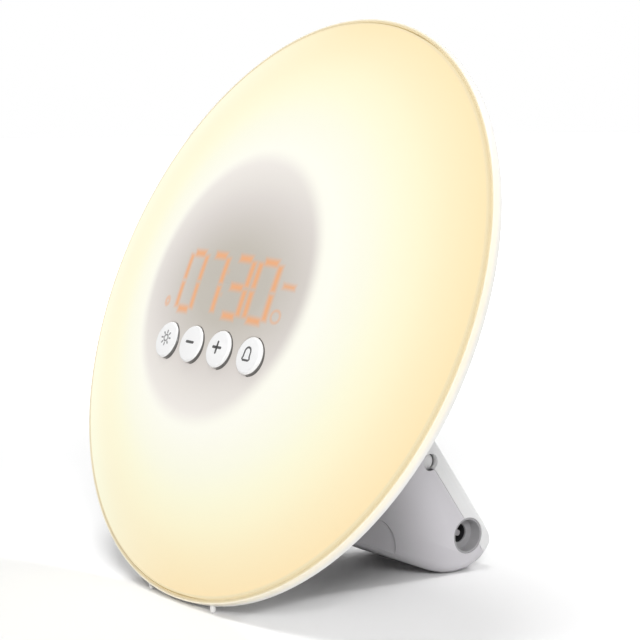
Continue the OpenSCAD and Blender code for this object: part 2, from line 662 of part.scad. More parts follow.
module main_board_screws() color([0.7, 0.7, 0.72]) on_back() at(raised(board_posts, chip_z))
    rotate([180, 0, 0]) pan_screw(head_r, head_h, screw_r, 7);
module speaker_clamp_screws() color([0.7, 0.7, 0.72]) on_back() at(raised(clamp_posts, clamp_z - 1))
    rotate([180, 0, 0]) pan_screw(1.7, 1, 0.8, 3);

light_diffuser();
back_shell();
stand_housing();
stand_cover();
reflector();
led_board();
leds();
display_carrier();
display_film();
display_board();
digit_module();
digit_segments();
display_connector();
button_guide();
switch_bodies();
light_button();
minus_button();
plus_button();
alarm_button();
light_switch_plunger();
minus_switch_plunger();
plus_switch_plunger();
alarm_switch_plunger();
set_button();
set_switch_body();
set_switch_plunger();
set_switch_board();
main_board();
microcontroller();
backup_capacitor();
power_coil();
board_connectors();
ribbon_cable();
speaker_basket();
speaker_magnet();
speaker_cone();
speaker_clamp();
dc_jack();
dc_jack_pin();
jack_collar();
led_leads();
speaker_leads();
jack_leads();
front_feet();
heel_pad();
dome_screws();
housing_screws();
cover_screws();
led_board_screws();
carrier_screws();
display_board_screws();
main_board_screws();
speaker_clamp_screws();
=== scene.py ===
import bpy, bmesh, json
from math import sin, cos, radians, sqrt, pi, atan2, hypot
from mathutils import Vector, Matrix


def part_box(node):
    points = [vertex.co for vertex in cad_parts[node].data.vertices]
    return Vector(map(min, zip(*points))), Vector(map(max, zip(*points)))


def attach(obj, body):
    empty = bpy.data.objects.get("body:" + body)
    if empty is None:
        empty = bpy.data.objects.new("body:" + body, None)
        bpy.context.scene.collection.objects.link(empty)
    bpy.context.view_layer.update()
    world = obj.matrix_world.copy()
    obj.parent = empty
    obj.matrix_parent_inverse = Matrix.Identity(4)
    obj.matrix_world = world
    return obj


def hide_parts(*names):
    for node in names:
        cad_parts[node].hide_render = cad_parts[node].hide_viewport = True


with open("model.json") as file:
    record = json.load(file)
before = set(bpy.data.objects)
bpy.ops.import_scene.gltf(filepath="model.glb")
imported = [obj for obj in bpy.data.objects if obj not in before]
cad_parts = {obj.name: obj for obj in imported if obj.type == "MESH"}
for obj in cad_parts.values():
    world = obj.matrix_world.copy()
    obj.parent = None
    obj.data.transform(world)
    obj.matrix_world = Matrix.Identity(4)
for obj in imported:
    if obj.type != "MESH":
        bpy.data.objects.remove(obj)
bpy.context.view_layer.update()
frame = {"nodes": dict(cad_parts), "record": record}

nodes = frame["nodes"]
print("frame loaded:", len(nodes), "nodes")

# The disc in mm, as in the part's source. It leans back on the stand.
disc = {"radius": 95, "tilt": 22, "domeHeight": 19, "buttonDrop": 20.2, "buttonPitch": 15,
        "buttonProud": 1.1}
tilt = radians(disc["tilt"])
acrossDir = Vector((1, 0, 0))
upDisc = Vector((0, sin(tilt), cos(tilt)))
outDisc = Vector((0, -cos(tilt), sin(tilt)))
domeSphere = (disc["domeHeight"] ** 2 + disc["radius"] ** 2) / (2 * disc["domeHeight"])
shellLow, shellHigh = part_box("back_shell")
discCentre = Vector((0, shellLow.y + disc["radius"] / 1000 * sin(tilt),
                     shellHigh.z - disc["radius"] / 1000 * cos(tilt)))


# A point given in mm in the disc's own frame (across, up the disc, out of it), in metres.
def onDisc(x, up, out):
    return discCentre + (acrossDir * x + upDisc * up + outDisc * out) / 1000


def domeAt(x, up):
    return sqrt(domeSphere ** 2 - x * x - up * up) + disc["domeHeight"] - domeSphere


# Meshes
def newPiece(name, verts, faces, material, smooth=True):
    mesh = bpy.data.meshes.new(name)
    mesh.from_pydata([tuple(v) for v in verts], [], faces)
    obj = bpy.data.objects.new(name, mesh)
    bpy.context.scene.collection.objects.link(obj)
    mesh.materials.append(material)
    for poly in mesh.polygons:
        poly.use_smooth = smooth
    return obj


def plainMesh(obj):
    seen = obj.evaluated_get(bpy.context.evaluated_depsgraph_get())
    mesh = bpy.data.meshes.new_from_object(seen)
    obj.modifiers.clear()
    old, obj.data = obj.data, mesh
    bpy.data.meshes.remove(old)


# How moulded edges are rounded. Angles in degrees, mergeWithin in metres.
moulding = {"segments": 3, "roundFrom": 30, "smoothTo": 25, "flatWithin": 0.6, "mergeWithin": 2e-6}


# A copy of a CAD node with its sharp edges rounded, as moulding leaves them. Width in mm.
def roundedCopy(name, node, body, slotName, width, material=None):
    bm = bmesh.new()
    bm.from_mesh(nodes[node].data)
    bmesh.ops.remove_doubles(bm, verts=bm.verts, dist=moulding["mergeWithin"])
    bmesh.ops.dissolve_limit(bm, angle_limit=radians(moulding["flatWithin"]), verts=bm.verts,
                             edges=bm.edges)
    mesh = bpy.data.meshes.new(name)
    bm.to_mesh(mesh)
    bm.free()
    obj = bpy.data.objects.new(name, mesh)
    bpy.context.scene.collection.objects.link(obj)
    mesh.materials.append(material or slotMaterial[slotName])
    bevel = obj.modifiers.new("roundEdges", "BEVEL")
    bevel.width = width / 1000
    bevel.segments = moulding["segments"]
    bevel.limit_method = "ANGLE"
    bevel.angle_limit = radians(moulding["roundFrom"])
    bevel.use_clamp_overlap = True
    bevel.harden_normals = False
    bevel.miter_outer = "MITER_ARC"
    plainMesh(obj)
    obj.data.shade_smooth()
    obj.data.set_sharp_from_angle(angle=radians(moulding["smoothTo"]))
    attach(obj, body)
    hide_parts(node)
    return obj


# Materials
def addNode(tree, kind, **settings):
    node = tree.nodes.new(kind)
    for key, value in settings.items():
        setattr(node, key, value)
    return node


def feed(tree, socket, value):
    if value is None:
        return
    if isinstance(value, bpy.types.NodeSocket):
        tree.links.new(value, socket)
    elif isinstance(value, (tuple, list)) and socket.type == "RGBA" and len(value) == 3:
        socket.default_value = (*value, 1)
    else:
        socket.default_value = value


def calc(tree, operation, a, b=None, c=None):
    node = addNode(tree, "ShaderNodeMath", operation=operation)
    for socket, value in zip(node.inputs, (a, b, c)):
        feed(tree, socket, value)
    return node.outputs[0]


def mixColour(tree, factor, a, b, how="MIX"):
    node = addNode(tree, "ShaderNodeMix", data_type="RGBA", blend_type=how)
    for i, value in ((0, factor), (6, a), (7, b)):
        feed(tree, node.inputs[i], value)
    return node.outputs[2]


# 0 below low, 1 above high, with a soft step between them.
def softStep(tree, value, low, high):
    node = addNode(tree, "ShaderNodeMapRange", interpolation_type="SMOOTHSTEP")
    for label, v in (("Value", value), ("From Min", low), ("From Max", high)):
        feed(tree, node.inputs[label], v)
    return node.outputs["Result"]


# A colour as it looks on screen, 0 to 255, turned into linear values.
def screenColour(r, g, b):
    return tuple(((c / 255 + 0.055) / 1.055) ** 2.4 for c in (r, g, b))


def newGroup(name, inputs, outputs):
    group = bpy.data.node_groups.new(name, "ShaderNodeTree")
    for label, kind, default in inputs:
        socket = group.interface.new_socket(label, in_out="INPUT", socket_type=kind)
        if default is not None:
            socket.default_value = default
    for label, kind in outputs:
        group.interface.new_socket(label, in_out="OUTPUT", socket_type=kind)
    return group, addNode(group, "NodeGroupInput"), addNode(group, "NodeGroupOutput")


def useGroup(tree, group, values):
    node = addNode(tree, "ShaderNodeGroup", node_tree=group)
    for label, value in values.items():
        feed(tree, node.inputs[label], value)
    return node


# Fine grain of a moulded surface, and the slow variation from the mould and from handling.
def makeGrainGroup():
    floatSocket, vectorSocket = "NodeSocketFloat", "NodeSocketVector"
    group, inside, outside = newGroup("mouldGrain", [
        ("Place", vectorSocket, None), ("Grain per metre", floatSocket, 2500.0),
        ("Patches per metre", floatSocket, 22.0), ("Stretch", vectorSocket, (1, 1, 1))],
        [("Height", floatSocket), ("Patch", floatSocket)])
    stretched = addNode(group, "ShaderNodeVectorMath", operation="MULTIPLY")
    feed(group, stretched.inputs[0], inside.outputs["Place"])
    feed(group, stretched.inputs[1], inside.outputs["Stretch"])
    for scale, detail, output in (("Grain per metre", 3, "Height"), ("Patches per metre", 2, "Patch")):
        noise = addNode(group, "ShaderNodeTexNoise")
        noise.inputs["Detail"].default_value = detail
        feed(group, noise.inputs["Vector"], stretched.outputs[0])
        feed(group, noise.inputs["Scale"], inside.outputs[scale])
        feed(group, outside.inputs[output], softStep(group, noise.outputs["Fac"], 0.25, 0.75))
    return group


mouldGrain = makeGrainGroup()


def startMaterial(name):
    material = bpy.data.materials.new(name)
    material.use_nodes = True
    tree = material.node_tree
    shader = tree.nodes["Principled BSDF"]
    place = addNode(tree, "ShaderNodeTexCoord").outputs["Object"]
    return material, tree, shader, place


# What all finishes share unless they say otherwise.
plastic = {"specular": 0.4, "roughSpread": 0.08, "patchMm": 45, "shade": 0.05, "coatRough": 0.12}


# Adds grain to a shader: roughness that wanders, and a fine bump.
def addGrain(tree, shader, place, finish):
    grain = useGroup(tree, mouldGrain, {
        "Place": place, "Grain per metre": 1000 / finish["grainMm"],
        "Patches per metre": 1000 / finish.get("patchMm", plastic["patchMm"]),
        "Stretch": finish.get("stretch", (1, 1, 1))})
    spread = plastic["roughSpread"]
    low = finish["rough"] - spread / 2
    wander = calc(tree, "MULTIPLY_ADD", grain.outputs["Patch"], spread * 0.7, low)
    feed(tree, shader.inputs["Roughness"],
         calc(tree, "MULTIPLY_ADD", grain.outputs["Height"], spread * 0.3, wander))
    bump = addNode(tree, "ShaderNodeBump")
    bump.inputs["Distance"].default_value = finish["bumpMm"] / 1000
    bump.inputs["Strength"].default_value = 1.0
    feed(tree, bump.inputs["Height"], grain.outputs["Height"])
    feed(tree, shader.inputs["Normal"], bump.outputs["Normal"])
    return grain


# A colour that is a little darker in the grain's slow patches.
def patchyColour(tree, grain, colour, shade):
    return mixColour(tree, grain.outputs["Patch"], tuple(c * (1 - shade) for c in colour), colour)


def plainFinish(name, finish):
    material, tree, shader, place = startMaterial(name)
    grain = addGrain(tree, shader, place, finish)
    colour = finish["colour"]
    shade = finish.get("shade", plastic["shade"])
    darker = tuple(c * (1 - shade) for c in colour)
    lighter = tuple(min(1, c * (1 + shade * 0.5)) for c in colour)
    feed(tree, shader.inputs["Base Color"], mixColour(tree, grain.outputs["Patch"], darker, lighter))
    shader.inputs["Metallic"].default_value = finish.get("metal", 0.0)
    shader.inputs["Specular IOR Level"].default_value = plastic["specular"]
    if "coat" in finish:
        shader.inputs["Coat Weight"].default_value = finish["coat"]
        shader.inputs["Coat Roughness"].default_value = plastic["coatRough"]
    return material


# One finish for each material slot of the part.
finishes = {
    "shell_white": {"colour": (0.80, 0.79, 0.77), "rough": 0.42, "grainMm": 0.35, "bumpMm": 0.006},
    "stand_grey": {"colour": (0.56, 0.545, 0.57), "rough": 0.46, "grainMm": 0.35, "bumpMm": 0.008},
    "cover_white": {"colour": (0.78, 0.78, 0.78), "rough": 0.44, "grainMm": 0.35, "bumpMm": 0.008},
    "button_white": {"colour": (0.86, 0.86, 0.86), "rough": 0.3, "grainMm": 0.3, "bumpMm": 0.003,
                     "coat": 0.2},
    "reflector_white": {"colour": (0.9, 0.9, 0.88), "rough": 0.25, "grainMm": 0.5, "bumpMm": 0.003},
    "board_white": {"colour": (0.78, 0.8, 0.78), "rough": 0.35, "grainMm": 0.2, "bumpMm": 0.01, "coat": 0.3},
    "board_green": {"colour": (0.02, 0.13, 0.05), "rough": 0.35, "grainMm": 0.2, "bumpMm": 0.01, "coat": 0.3,
                    "shade": 0.3, "patchMm": 4},
    "lamp_yellow": {"colour": (0.9, 0.6, 0.12), "rough": 0.3, "grainMm": 0.2, "bumpMm": 0.004},
    "black_plastic": {"colour": (0.02, 0.02, 0.022), "rough": 0.5, "grainMm": 0.25, "bumpMm": 0.01,
                      "shade": 0.3},
    "carrier_grey": {"colour": (0.06, 0.06, 0.065), "rough": 0.55, "grainMm": 0.3, "bumpMm": 0.01,
                     "shade": 0.2},
    "film_smoke": {"colour": (0.32, 0.3, 0.28), "rough": 0.6, "grainMm": 0.15, "bumpMm": 0.004},
    "digit_amber": {"colour": (0.85, 0.33, 0.1), "rough": 0.35, "grainMm": 0.3, "bumpMm": 0.004},
    "plug_ivory": {"colour": (0.78, 0.75, 0.65), "rough": 0.45, "grainMm": 0.3, "bumpMm": 0.006},
    "plunger_white": {"colour": (0.8, 0.8, 0.8), "rough": 0.4, "grainMm": 0.3, "bumpMm": 0.005},
    "capacitor_sleeve": {"colour": (0.02, 0.03, 0.1), "rough": 0.3, "grainMm": 0.6, "bumpMm": 0.01,
                         "coat": 0.3},
    "ferrite": {"colour": (0.06, 0.055, 0.05), "rough": 0.7, "grainMm": 0.25, "bumpMm": 0.03, "shade": 0.3},
    "ribbon_grey": {"colour": (0.45, 0.45, 0.48), "rough": 0.5, "grainMm": 0.6, "bumpMm": 0.03,
                    "stretch": (1, 0.05, 0.05)},
    "wire_red": {"colour": (0.5, 0.02, 0.012), "rough": 0.4, "grainMm": 0.4, "bumpMm": 0.006},
    "speaker_steel": {"colour": (0.55, 0.55, 0.57), "metal": 1.0, "rough": 0.38, "grainMm": 0.3,
                      "bumpMm": 0.006, "stretch": (1, 0.08, 1)},
    "cone_paper": {"colour": (0.03, 0.03, 0.03), "rough": 0.85, "grainMm": 0.25, "bumpMm": 0.04,
                   "shade": 0.3},
    "nickel": {"colour": (0.68, 0.65, 0.58), "metal": 1.0, "rough": 0.25, "grainMm": 0.3, "bumpMm": 0.003,
               "stretch": (0.08, 1, 1)},
    "foot_white": {"colour": (0.78, 0.78, 0.78), "rough": 0.6, "grainMm": 0.3, "bumpMm": 0.01},
    "pad_grey": {"colour": (0.4, 0.4, 0.4), "rough": 0.75, "grainMm": 0.3, "bumpMm": 0.02},
    "screw_zinc": {"colour": (0.6, 0.6, 0.62), "metal": 1.0, "rough": 0.32, "grainMm": 0.25, "bumpMm": 0.004,
                   "stretch": (1, 0.15, 1)},
}
madeApart = ("shell_white", "stand_grey", "cover_white")  # these get materials of their own below
slotMaterial = {slot: plainFinish(slot, finish) for slot, finish in finishes.items() if slot not in madeApart}
print("plain finishes:", len(slotMaterial))

# The dome's glow, with the display showing through it; in it, the display shroud's shadow, the paler left
# side and the darker edge are painted light and shade. Sizes in mm, colours as on screen.
glow = {"rings": [(46, (254, 253, 241)), (58, (252, 251, 230)), (66, (253, 250, 220)), (74, (254, 246, 210)),
                  (82, (254, 239, 198)), (93, (254, 231, 184))],
        "leftLitColour": (251, 250, 222), "leftAcross": (10, -70), "leftOutward": (55, 95),
        "edgeShadeColour": (240, 225, 186), "edgeShadeOutward": (92.4, 93.4), "lampShare": 0.74, "plasticShare": 0.215,
        "shroudShadow": {"place": (-3.7, 0.0), "radius": 42.8, "soft": 3.2, "middle": 3.0, "flatten": 0.68,
                   "reach": 45, "rings": [(0, (193, 187, 177)), (12, (196, 190, 180)), (20, (208, 202, 195)),
                                          (28, (221, 215, 210)), (34, (231, 226, 220)),
                                          (42, (241, 236, 230))]}}
digits = {"centres": (-19.6, -7.0, 6.6, 19.2), "middle": -0.6, "high": 18.3, "wide": 9.2, "bar": 2.2,
          "flatGap": 0.4, "tallGap": 0.5, "soft": 1.15, "shown": ("1110111", "1010010", "1011011", "1110111"),
          "colour": (236, 174, 128), "dash": {"place": (30.2, 2.2), "half": (2.5, 0.7)},
          "marks": (((28.4, -7.3), 1.9, 0.4), ((-31.0, -7.9), 1.1, 0.7)), "markSoft": 0.5, "markShare": 0.6,
          "colon": ((-0.2, 3.6), (-0.2, -3.6)), "dotHalf": 0.6, "dotSoft": 0.8, "dotShare": 0.35}


# Soft rectangle: 1 inside, 0 outside.
def softBox(tree, x, y, place, half, soft):
    dx = calc(tree, "SUBTRACT", calc(tree, "ABSOLUTE", calc(tree, "SUBTRACT", x, place[0])), half[0])
    dy = calc(tree, "SUBTRACT", calc(tree, "ABSOLUTE", calc(tree, "SUBTRACT", y, place[1])), half[1])
    return softStep(tree, calc(tree, "MAXIMUM", dx, dy), soft, -soft)


# Seven bars in reading order: top, upper left, upper right, middle, lower left, lower right, bottom.
def makeDigitGroup():
    names = ("Top", "Upper left", "Upper right", "Middle", "Lower left", "Lower right", "Bottom")
    wide, high, bar, soft = (digits[k] for k in ("wide", "high", "bar", "soft"))
    group, inside, outside = newGroup("digitBars", [
        ("X", "NodeSocketFloat", 0.0), ("Y", "NodeSocketFloat", 0.0),
        *[(name, "NodeSocketFloat", 1.0) for name in names]], [("Lit", "NodeSocketFloat")])
    flat = (wide / 2 - bar / 2 - digits["flatGap"], bar / 2)
    tall = (bar / 2, high / 4 - digits["tallGap"])
    places = ((0, high / 2), (-wide / 2, high / 4), (wide / 2, high / 4), (0, 0),
              (-wide / 2, -high / 4), (wide / 2, -high / 4), (0, -high / 2))
    total = None
    for name, place in zip(names, places):
        mask = softBox(group, inside.outputs["X"], inside.outputs["Y"], place,
                       flat if place[0] == 0 else tall, soft)
        mask = calc(group, "MULTIPLY", mask, inside.outputs[name])
        total = mask if total is None else calc(group, "MAXIMUM", total, mask)
    feed(group, outside.inputs["Lit"], total)
    return group


digitBars = makeDigitGroup()


def distance(tree, x, y):
    return calc(tree, "SQRT", calc(tree, "ADD", calc(tree, "MULTIPLY", x, x), calc(tree, "MULTIPLY", y, y)))


# Soft ring: 1 on the line, 0 off it.
def ringMask(tree, x, y, place, radius, half, soft):
    far = distance(tree, calc(tree, "SUBTRACT", x, place[0]), calc(tree, "SUBTRACT", y, place[1]))
    off = calc(tree, "SUBTRACT", calc(tree, "ABSOLUTE", calc(tree, "SUBTRACT", far, radius)), half)
    return softStep(tree, off, soft, -soft)


# Colours on rings round a middle, given as (distance in mm, colour on screen).
def ringColours(tree, far, rings, reach):
    ramp = addNode(tree, "ShaderNodeValToRGB")
    feed(tree, ramp.inputs[0], calc(tree, "DIVIDE", far, reach))
    stops = ramp.color_ramp.elements
    while len(stops) < len(rings):
        stops.new(0.5)
    for stop, (radius, colour) in zip(stops, rings):
        stop.position = radius / reach
        stop.color = (*screenColour(*colour), 1)
    return ramp.outputs[0]


# Places in the disc's own frame, in mm: across, up the disc and out of it.
def makeDiscFrame():
    group, inside, outside = newGroup("discFrame", [("Place", "NodeSocketVector", None)],
                                      [(label, "NodeSocketFloat") for label in ("Across", "Up", "Out")])
    toDisc = addNode(group, "ShaderNodeMapping", vector_type="TEXTURE")
    toDisc.inputs["Location"].default_value = discCentre
    toDisc.inputs["Rotation"].default_value = (pi / 2 - tilt, 0, 0)
    toDisc.inputs["Scale"].default_value = (0.001, 0.001, 0.001)
    feed(group, toDisc.inputs["Vector"], inside.outputs["Place"])
    parts = addNode(group, "ShaderNodeSeparateXYZ")
    feed(group, parts.inputs[0], toDisc.outputs[0])
    for label, value in zip(("Across", "Up", "Out"), parts.outputs):
        feed(group, outside.inputs[label], value)
    return group


discFrame = makeDiscFrame()


def makeDomeMaterial():
    material, tree, shader, place = startMaterial("translucent_cream")
    x, y, out = useGroup(tree, discFrame, {"Place": place}).outputs
    far = distance(tree, x, y)

    # Glow: whitest round the display, warmer towards the rim; paler on the left, which is painted light
    paintedLeftLight = calc(tree, "MULTIPLY", softStep(tree, x, *glow["leftAcross"]),
                    softStep(tree, far, *glow["leftOutward"]))
    lit = mixColour(tree, paintedLeftLight, ringColours(tree, far, glow["rings"], disc["radius"]),
                    screenColour(*glow["leftLitColour"]))

    # Painted shadow of the display's shroud on the dome: a soft grey disc, darkest in the middle
    shroudShadow = glow["shroudShadow"]
    shroudShadowFar = distance(tree, calc(tree, "SUBTRACT", x, shroudShadow["place"][0]), y)
    inShroudShadow = softStep(tree, shroudShadowFar, shroudShadow["radius"] + shroudShadow["soft"], shroudShadow["radius"] - shroudShadow["soft"])
    across = calc(tree, "MULTIPLY", calc(tree, "SUBTRACT", x, shroudShadow["middle"]), shroudShadow["flatten"])
    grey = ringColours(tree, distance(tree, across, y), shroudShadow["rings"], shroudShadow["reach"])
    shown = mixColour(tree, inShroudShadow, lit, grey)

    # Digits, colon, dash and the two small marks
    total = softBox(tree, x, y, digits["dash"]["place"], digits["dash"]["half"], digits["soft"])
    for centre, bars in zip(digits["centres"], digits["shown"]):
        digit = useGroup(tree, digitBars, {"X": calc(tree, "SUBTRACT", x, centre),
                                           "Y": calc(tree, "SUBTRACT", y, digits["middle"])})
        for socket, on in zip(digit.inputs[2:], bars):
            socket.default_value = float(on)
        total = calc(tree, "MAXIMUM", total, digit.outputs[0])
    for spot, radius, half in digits["marks"]:
        mark = ringMask(tree, x, y, spot, radius, half, digits["markSoft"])
        total = calc(tree, "MAXIMUM", total, calc(tree, "MULTIPLY", mark, digits["markShare"]))
    for spot in digits["colon"]:
        dot = softBox(tree, x, y, spot, (digits["dotHalf"],) * 2, digits["dotSoft"])
        total = calc(tree, "MAXIMUM", total, calc(tree, "MULTIPLY", dot, digits["dotShare"]))
    shown = mixColour(tree, total, shown, screenColour(*digits["colour"]))

    # Part of the colour is the plastic's own, and the lamp behind it gives the rest
    # Painted shade, warm from the glow, in the groove where the dome meets the rim
    edge = softStep(tree, far, *glow["edgeShadeOutward"])
    shown = mixColour(tree, edge, shown, screenColour(*glow["edgeShadeColour"]))
    own = mixColour(tree, 1.0, shown, (glow["plasticShare"],) * 3, "MULTIPLY")
    feed(tree, shader.inputs["Base Color"], own)
    feed(tree, shader.inputs["Emission Color"], shown)
    shader.inputs["Emission Strength"].default_value = glow["lampShare"]
    shader.inputs["Specular IOR Level"].default_value = 0.25
    addGrain(tree, shader, place, {"rough": 0.5, "grainMm": 0.4, "bumpMm": 0.004, "patchMm": 60})
    return material


# The back shell is plain white. Its rim is creamy in front: painted light, warm from the dome's glow. In mm.
rim = {"bandOut": (-3.2, -0.6), "bandOutward": (93.0, 93.6), "lipOutward": (94.9, 94.3),
       "glowLitColour": (246, 238, 219), "lipGlowLitColour": (226, 210, 172)}


def makeShellMaterial():
    finish = finishes["shell_white"]
    material, tree, shader, place = startMaterial("shell_white")
    x, y, out = useGroup(tree, discFrame, {"Place": place}).outputs
    grain = addGrain(tree, shader, place, finish)
    plain = patchyColour(tree, grain, finish["colour"], 0.04)
    far = distance(tree, x, y)
    # Painted light from the dome's glow on the rim's front band, a darker tan on the lip
    glowLitBand = calc(tree, "MULTIPLY", softStep(tree, out, *rim["bandOut"]),
                   softStep(tree, far, *rim["bandOutward"]))
    glowLitShell = mixColour(tree, glowLitBand, plain, screenColour(*rim["glowLitColour"]))
    onLip = calc(tree, "MULTIPLY", glowLitBand, softStep(tree, far, *rim["lipOutward"]))
    feed(tree, shader.inputs["Base Color"], mixColour(tree, onLip, glowLitShell, screenColour(*rim["lipGlowLitColour"])))
    shader.inputs["Specular IOR Level"].default_value = plastic["specular"]
    return material


slotMaterial["shell_white"] = makeShellMaterial()


# Button caps are white; below the round edge their side is darkened, a painted shade. In mm.
caps = {"whiteDown": -0.55, "soft": 0.12, "sideShadeColour": (98, 97, 95)}
rowDrop = disc["buttonDrop"] ** 2 / (2 * domeSphere)  # how far the dome has fallen at the row of buttons


def makeCapMaterial():
    finish = finishes["button_white"]
    material, tree, shader, place = startMaterial("button_white")
    x, y, out = useGroup(tree, discFrame, {"Place": place}).outputs
    grain = addGrain(tree, shader, place, finish)
    white = patchyColour(tree, grain, finish["colour"], 0.03)
    below = calc(tree, "SUBTRACT", calc(tree, "SUBTRACT", out, disc["domeHeight"] + disc["buttonProud"]),
                 calc(tree, "MULTIPLY", calc(tree, "MULTIPLY", x, x), -0.5 / domeSphere))
    sideShadeTop = caps["whiteDown"] - rowDrop
    # Painted shade on the cap's side below its round edge
    sideShade = softStep(tree, below, sideShadeTop, sideShadeTop - caps["soft"])
    feed(tree, shader.inputs["Base Color"], mixColour(tree, sideShade, white, screenColour(*caps["sideShadeColour"])))
    shader.inputs["Specular IOR Level"].default_value = plastic["specular"]
    shader.inputs["Coat Weight"].default_value = finish["coat"]
    shader.inputs["Coat Roughness"].default_value = plastic["coatRough"]
    return material


# The stand's plastic, with painted shade: darker towards the dish, a little lighter further from it, and dark
# inside the set button's hole. In metres.
stand = {"upShare": 0.6, "darkFrom": 0.016, "paleBy": 0.047, "dark": 0.55, "pale": 1.1,
         "holeRadius": 0.003, "holeMouth": 0.0209, "holeEnd": 0.005, "holeShadeColour": (0.06, 0.058, 0.06)}


# A mask that is 1 inside the set button's hole, from a little way in to its end, for the painted shade there.
def makeHoleGroup():
    group, inside, outside = newGroup("setHole", [
        ("Place", "NodeSocketVector", None), ("Radius", "NodeSocketFloat", 0.003),
        ("Mouth", "NodeSocketFloat", 0.02), ("End", "NodeSocketFloat", 0.005),
        ("Soft", "NodeSocketFloat", 0.0001)], [("Inside", "NodeSocketFloat")])
    low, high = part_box("set_button")
    middle = (low + high) / 2
    parts = addNode(group, "ShaderNodeSeparateXYZ")
    feed(group, parts.inputs[0], inside.outputs["Place"])
    x, y, z = parts.outputs
    radius, mouth, end, soft = (inside.outputs[label] for label in ("Radius", "Mouth", "End", "Soft"))
    far = distance(group, calc(group, "SUBTRACT", y, middle.y), calc(group, "SUBTRACT", z, middle.z))
    within = softStep(group, far, calc(group, "ADD", radius, soft), calc(group, "SUBTRACT", radius, soft))
    deep = softStep(group, x, mouth, calc(group, "MULTIPLY_ADD", soft, -5, mouth))
    before = softStep(group, x, end, calc(group, "MULTIPLY_ADD", soft, 10, end))
    feed(group, outside.inputs["Inside"],
         calc(group, "MULTIPLY", calc(group, "MULTIPLY", within, deep), before))
    return group


setHole = makeHoleGroup()


def makeStandMaterial(slotName, shaded):
    finish = finishes[slotName]
    material, tree, shader, place = startMaterial(slotName)
    grain = addGrain(tree, shader, place, finish)
    colour = patchyColour(tree, grain, finish["colour"], 0.04)
    if shaded:
        # Painted shade and light: darker towards the dish and the floor, a little lighter further back
        parts = addNode(tree, "ShaderNodeSeparateXYZ")
        feed(tree, parts.inputs[0], place)
        along = calc(tree, "MULTIPLY_ADD", parts.outputs[2], stand["upShare"], parts.outputs[1])
        paler = softStep(tree, along, stand["darkFrom"], stand["paleBy"])
        level = calc(tree, "MULTIPLY_ADD", paler, stand["pale"] - stand["dark"], stand["dark"])
        colour = mixColour(tree, 1.0, colour, level, "MULTIPLY")
    # Painted shade: dark inside the set button's hole
    hole = useGroup(tree, setHole, {"Place": place, "Radius": stand["holeRadius"],
                                    "Mouth": stand["holeMouth"], "End": stand["holeEnd"]})
    colour = mixColour(tree, hole.outputs["Inside"], colour, stand["holeShadeColour"])
    feed(tree, shader.inputs["Base Color"], colour)
    shader.inputs["Specular IOR Level"].default_value = plastic["specular"]
    return material


slotMaterial["stand_grey"] = makeStandMaterial("stand_grey", True)
slotMaterial["cover_white"] = makeStandMaterial("cover_white", False)

setWhite = slotMaterial["button_white"]  # the set button has no painted side shade
slotMaterial["button_white"] = makeCapMaterial()
slotMaterial["translucent_cream"] = makeDomeMaterial()
# The inlet collar is darker than the stand: painted shade in the inlet's recess
collarShadeGrey = plainFinish("inletShadeGrey", {"colour": (0.33, 0.325, 0.335), "rough": 0.5, "grainMm": 0.3,
                                       "bumpMm": 0.01})
print("materials made:", len(slotMaterial) + 2)

for part in frame["record"]["subparts"]:
    mesh = nodes[part["node"]].data
    mesh.materials.clear()
    mesh.materials.append(slotMaterial[part["material_slot"]])
nodes["dc_jack_pin"].data.materials[0] = plainFinish("pinSteel", {
    "colour": (0.3, 0.29, 0.3), "metal": 1.0, "rough": 0.35, "grainMm": 0.3, "bumpMm": 0.003})
print("CAD nodes dressed")

# Moulded parts that are seen from outside, each with the rounding of its edges in mm
rounding = {
    "shell": ("back_shell", "clock", "shell_white", 0.35),
    "housing": ("stand_housing", "clock", "stand_grey", 0.3),
    "cover": ("stand_cover", "clock", "cover_white", 0.3),
    "inletCollar": ("jack_collar", "clock", "stand_grey", 0.12, collarShadeGrey),
    "lightCap": ("light_button", "light_button", "button_white", 0.25),
    "minusCap": ("minus_button", "minus_button", "button_white", 0.25),
    "plusCap": ("plus_button", "plus_button", "button_white", 0.25),
    "alarmCap": ("alarm_button", "alarm_button", "button_white", 0.25),
    "setCap": ("set_button", "set_button", "button_white", 0.2, setWhite),
}
for name, settings in rounding.items():
    piece = roundedCopy(name, *settings)
    print(name, "faces", len(piece.data.polygons))

# Pan head screws. Sizes in mm, angles in degrees.
screws = {"headRadius": 2.5, "headHeight": 1.5, "shankRadius": 1.25, "slotWidth": 0.6,
          "sides": 40, "crownRings": 32, "crown": 1.6, "slotReach": 1.2, "seed": 7}
domeScrews = {"ring": 84, "first": 30, "every": 60, "out": -6.2, "length": 6}
coverScrews = {"places": [(18.4, 38), (-18.4, 38), (16.6, 97), (-16.6, 97)], "up": 16.3, "sink": 3.4,
               "slope": 32, "length": 12}


